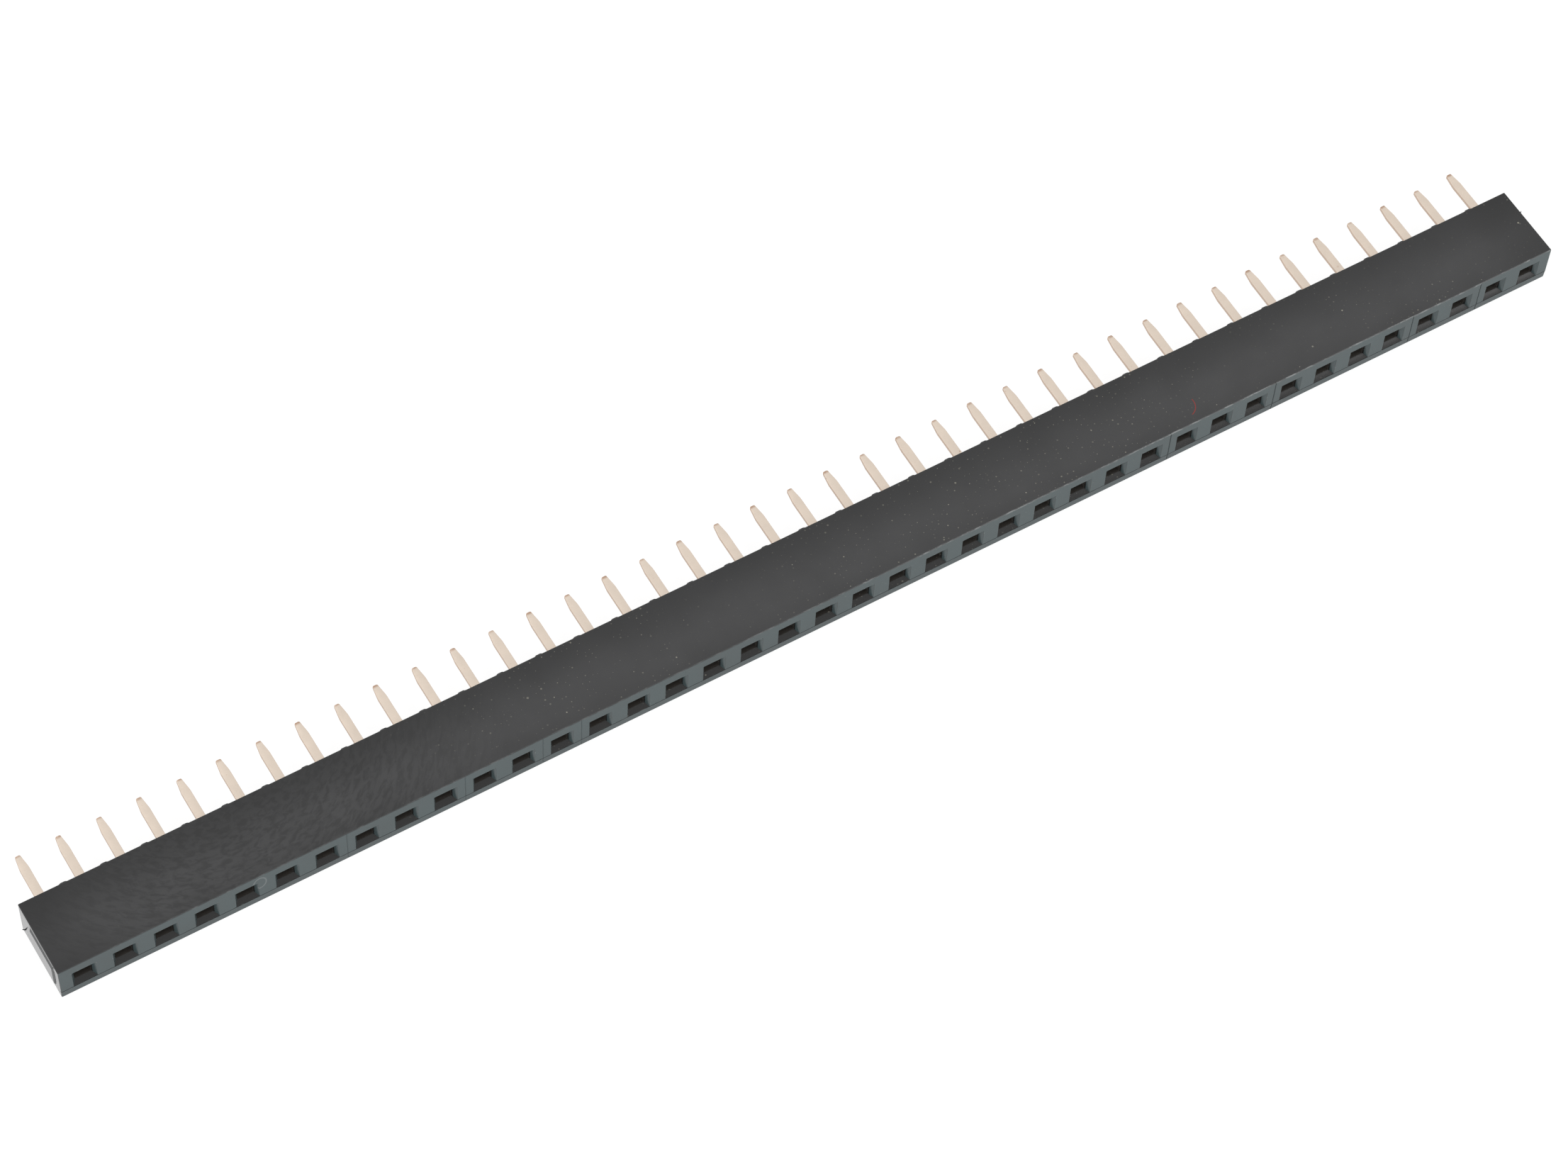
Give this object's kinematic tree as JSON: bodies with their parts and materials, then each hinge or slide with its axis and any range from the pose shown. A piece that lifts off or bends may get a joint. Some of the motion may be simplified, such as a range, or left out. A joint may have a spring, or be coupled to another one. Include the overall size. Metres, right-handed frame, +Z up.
{
  "type": "female pin header strip",
  "caption": "Single-row straight female header strip: a low moulded housing with square funnelled sockets on one face and flat solder tails on the other.",
  "frame": {"origin": "under the middle of the strip's whole outline, tails included, on the plane of the long face that it lies on", "axes": "+X along the row of contacts, +Y from the socket face to the solder tails, +Z up from the long face that it lies on to the long face that is seen"},
  "size_m": [0.0806, 0.0068, 0.0022],
  "materials": {
    "housing_plastic": "fine matte moulded charcoal thermoplastic",
    "contact_metal": "pale satin-plated copper alloy strip, stamped and bent"
  },
  "bodies": {
    "root": {"housing": "housing_plastic", "contact_01": "contact_metal", "contact_02": "contact_metal", "contact_03": "contact_metal", "contact_04": "contact_metal", "contact_05": "contact_metal", "contact_06": "contact_metal", "contact_07": "contact_metal", "contact_08": "contact_metal", "contact_09": "contact_metal", "contact_10": "contact_metal", "contact_11": "contact_metal", "contact_12": "contact_metal", "contact_13": "contact_metal", "contact_14": "contact_metal", "contact_15": "contact_metal", "contact_16": "contact_metal", "contact_17": "contact_metal", "contact_18": "contact_metal", "contact_19": "contact_metal", "contact_20": "contact_metal", "contact_21": "contact_metal", "contact_22": "contact_metal", "contact_23": "contact_metal", "contact_24": "contact_metal", "contact_25": "contact_metal", "contact_26": "contact_metal", "contact_27": "contact_metal", "contact_28": "contact_metal", "contact_29": "contact_metal", "contact_30": "contact_metal", "contact_31": "contact_metal", "contact_32": "contact_metal", "contact_33": "contact_metal", "contact_34": "contact_metal", "contact_35": "contact_metal", "contact_36": "contact_metal", "contact_37": "contact_metal", "contact_38": "contact_metal", "contact_39": "contact_metal", "contact_40": "contact_metal"}
  },
  "joints": []
}
